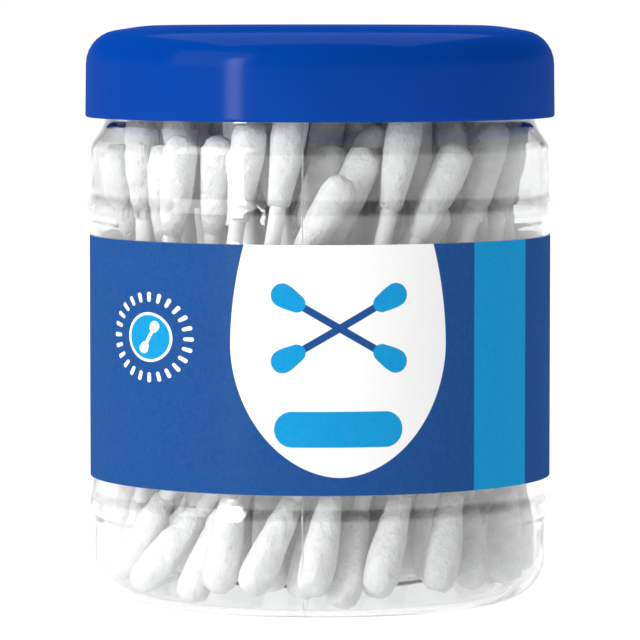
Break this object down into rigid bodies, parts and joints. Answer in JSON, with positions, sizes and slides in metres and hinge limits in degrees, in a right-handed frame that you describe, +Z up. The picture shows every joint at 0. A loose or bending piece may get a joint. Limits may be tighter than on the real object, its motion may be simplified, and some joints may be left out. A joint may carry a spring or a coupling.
{
  "type": "cotton swab tub",
  "caption": "Round clear plastic tub with a wrap-round label and a screw lid, filled with double-ended cotton swabs that stand leaning in a bundle.",
  "frame": {"origin": "centre of the circle that the tub stands on, at the level of the surface under it", "axes": "+Z up along the tub's axis to the lid, -Y to the front of the label, +X to the right seen from the front"},
  "size_m": [0.072, 0.072, 0.0878],
  "materials": {
    "clear_plastic": "clear, polished",
    "label_film": "printed film, satin",
    "lid_plastic": "smooth moulded, glossy",
    "liner_foam": "fine foam, matt",
    "stick_paper": "rolled white paper",
    "cotton": "wound cotton, fluffy"
  },
  "bodies": {
    "tub": {"tub": "clear_plastic", "label": "label_film", "row_1_sticks": "stick_paper", "row_1_lower_tips": "cotton", "row_1_upper_tips": "cotton", "row_2_sticks": "stick_paper", "row_2_lower_tips": "cotton", "row_2_upper_tips": "cotton", "row_3_sticks": "stick_paper", "row_3_lower_tips": "cotton", "row_3_upper_tips": "cotton", "row_4_sticks": "stick_paper", "row_4_lower_tips": "cotton", "row_4_upper_tips": "cotton", "row_5_sticks": "stick_paper", "row_5_lower_tips": "cotton", "row_5_upper_tips": "cotton", "row_6_sticks": "stick_paper", "row_6_lower_tips": "cotton", "row_6_upper_tips": "cotton"},
    "liner": {"lid_liner": "liner_foam"},
    "lid": {"lid": "lid_plastic"}
  },
  "joints": [
    {"name": "lid_lift", "type": "slide", "parent": "tub", "child": "liner", "axis": [0, 0, 1], "range_m": [0, 0.0125]},
    {"name": "lid_turn", "type": "hinge", "parent": "liner", "child": "lid", "pos_m": [0, 0, 0.08], "axis": [0, 0, 1], "range_deg": [0, 900]}
  ],
  "couplings": [
    {"joint": "lid_lift", "follows": "lid_turn", "m_per_rad": 0.00079577}
  ]
}
